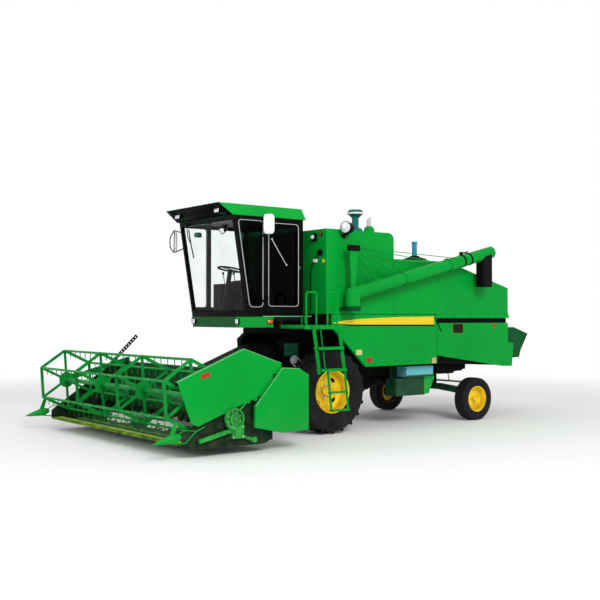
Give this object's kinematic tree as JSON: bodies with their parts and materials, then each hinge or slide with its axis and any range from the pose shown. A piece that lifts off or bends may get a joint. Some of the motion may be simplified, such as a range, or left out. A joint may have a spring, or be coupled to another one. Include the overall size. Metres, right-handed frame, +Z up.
{
  "type": "combine harvester, self-propelled, with rigid grain header",
  "caption": "Green self-propelled combine harvester with cab, grain tank, folded unloading auger and a tined reel header, on yellow wheels.",
  "frame": {"origin": "on the ground midway between the drive wheels, under the drive axle", "axes": "+X forward, +Y to the left side of the machine, +Z up"},
  "size_m": [8.604, 4.214, 3.566],
  "materials": {
    "body_paint": "gloss",
    "roof_paint": "gloss",
    "dark_paint": "satin",
    "wheel_paint": "gloss",
    "frame_black": "satin",
    "tyre_rubber": "matte",
    "clear_glass": "polished",
    "bright_rod": "polished",
    "steel": "brushed",
    "pipe_grey": "matte",
    "teal_paint": "satin",
    "seat_fabric": "matte",
    "lamp_lens": "clear",
    "rubber_black": "matte",
    "mirror_shell": "matte"
  },
  "bodies": {
    "machine": {"drive_axle": "dark_paint", "chassis_frame": "frame_black", "rear_axle": "dark_paint", "separator_hull": "dark_paint", "side_panels_left": "body_paint", "side_panels_right": "body_paint", "grain_tank": "body_paint", "rear_hood": "body_paint", "engine_block": "frame_black", "air_intake": "teal_paint", "exhaust_pipe": "pipe_grey", "filler_neck": "teal_paint", "radiator_screen": "frame_black", "straw_hood": "dark_paint", "cleaning_shoe": "dark_paint", "battery_box": "dark_paint", "platform": "body_paint", "ladder": "body_paint", "cab_frame": "frame_black", "cab_glass": "clear_glass", "cab_roof": "roof_paint", "lamps": "lamp_lens", "driver_seat": "seat_fabric", "steering_column": "frame_black", "mirrors": "mirror_shell", "unloading_base": "dark_paint"},
    "drive_wheel_left": {"drive_tyre_left": "tyre_rubber", "drive_rim_left": "wheel_paint"},
    "drive_wheel_right": {"drive_tyre_right": "tyre_rubber", "drive_rim_right": "wheel_paint"},
    "steer_knuckle_left": {"knuckle_left": "dark_paint"},
    "steer_knuckle_right": {"knuckle_right": "dark_paint"},
    "steer_wheel_left": {"steer_tyre_left": "tyre_rubber", "steer_rim_left": "wheel_paint"},
    "steer_wheel_right": {"steer_tyre_right": "tyre_rubber", "steer_rim_right": "wheel_paint"},
    "steer_tie_rod": {"tie_rod": "steel"},
    "door": {"cab_door": "frame_black", "door_glass": "clear_glass"},
    "header": {"feeder_house": "body_paint", "header_platform": "body_paint", "cutter_bar": "steel", "dividers": "body_paint", "header_shields": "body_paint", "knife_drive": "body_paint"},
    "auger": {"header_auger": "body_paint"},
    "reel_lift": {"reel_arms": "body_paint"},
    "reel_rotor": {"reel": "body_paint"},
    "lift_ram_barrels": {"lift_barrels": "frame_black"},
    "lift_ram_rods": {"lift_rods": "bright_rod"},
    "reel_ram_barrels": {"reel_lift_barrels": "frame_black"},
    "reel_ram_rods": {"reel_lift_rods": "bright_rod"},
    "unloader": {"unloading_auger": "body_paint", "unloading_spout": "rubber_black"}
  },
  "joints": [
    {"name": "drive_roll_left", "type": "hinge", "parent": "machine", "child": "drive_wheel_left", "pos_m": [0, 0.985, 0.6325], "axis": [0, 1, 0], "continuous": true},
    {"name": "drive_roll_right", "type": "hinge", "parent": "machine", "child": "drive_wheel_right", "pos_m": [0, -0.985, 0.6325], "axis": [0, 1, 0], "continuous": true},
    {"name": "steer_left", "type": "hinge", "parent": "machine", "child": "steer_knuckle_left", "pos_m": [-3.15, 0.88, 0.5], "axis": [0, 0, 1], "range_deg": [-35, 35]},
    {"name": "steer_right", "type": "hinge", "parent": "machine", "child": "steer_knuckle_right", "pos_m": [-3.15, -0.88, 0.5], "axis": [0, 0, 1], "range_deg": [-35, 35]},
    {"name": "steer_roll_left", "type": "hinge", "parent": "steer_knuckle_left", "child": "steer_wheel_left", "pos_m": [-3.15, 1.08, 0.36], "axis": [0, 1, 0], "continuous": true},
    {"name": "steer_roll_right", "type": "hinge", "parent": "steer_knuckle_right", "child": "steer_wheel_right", "pos_m": [-3.15, -1.08, 0.36], "axis": [0, 1, 0], "continuous": true},
    {"name": "tie_rod_slide", "type": "slide", "parent": "machine", "child": "steer_tie_rod", "axis": [0, 1, 0], "range_m": [-0.1, 0.1]},
    {"name": "door_swing", "type": "hinge", "parent": "machine", "child": "door", "pos_m": [0.983, 0.792, 2.495], "axis": [0, 0, -1], "range_deg": [0, 70]},
    {"name": "header_lift", "type": "hinge", "parent": "machine", "child": "header", "pos_m": [0.48, 0, 1.225], "axis": [0, -1, 0], "range_deg": [-1, 22]},
    {"name": "auger_turn", "type": "hinge", "parent": "header", "child": "auger", "pos_m": [2.13, 0, 0.5], "axis": [0, 1, 0], "continuous": true},
    {"name": "reel_raise", "type": "hinge", "parent": "header", "child": "reel_lift", "pos_m": [1.83, 0, 1.06], "axis": [0, -1, 0], "range_deg": [0, 25]},
    {"name": "reel_turn", "type": "hinge", "parent": "reel_lift", "child": "reel_rotor", "pos_m": [2.9, 0, 0.77], "axis": [0, 1, 0], "continuous": true},
    {"name": "lift_barrel_tilt", "type": "hinge", "parent": "machine", "child": "lift_ram_barrels", "pos_m": [0.33, 0, 0.56], "axis": [0, -1, 0], "range_deg": [-2, 24]},
    {"name": "lift_rod_slide", "type": "slide", "parent": "lift_ram_barrels", "child": "lift_ram_rods", "axis": [0.991, 0, -0.1342], "range_m": [-0.02, 0.3]},
    {"name": "reel_barrel_tilt", "type": "hinge", "parent": "header", "child": "reel_ram_barrels", "pos_m": [1.99, 0, 0.64], "axis": [0, -1, 0], "range_deg": [0, 24]},
    {"name": "reel_rod_slide", "type": "slide", "parent": "reel_ram_barrels", "child": "reel_ram_rods", "axis": [0.8862, 0, 0.4633], "range_m": [0, 0.24]},
    {"name": "unloader_swing", "type": "hinge", "parent": "machine", "child": "unloader", "pos_m": [-0.23, 1.33, 2.1], "axis": [0, 0, -1], "range_deg": [0, 90]}
  ],
  "couplings": [
    {"joint": "steer_right", "follows": "steer_left", "ratio": 1},
    {"joint": "tie_rod_slide", "follows": "steer_left", "m_per_rad": -0.148},
    {"joint": "lift_barrel_tilt", "follows": "header_lift", "ratio": 0.86},
    {"joint": "lift_rod_slide", "follows": "header_lift", "m_per_rad": 0.6615},
    {"joint": "reel_barrel_tilt", "follows": "reel_raise", "ratio": 0.7775},
    {"joint": "reel_rod_slide", "follows": "reel_raise", "m_per_rad": 0.432}
  ]
}
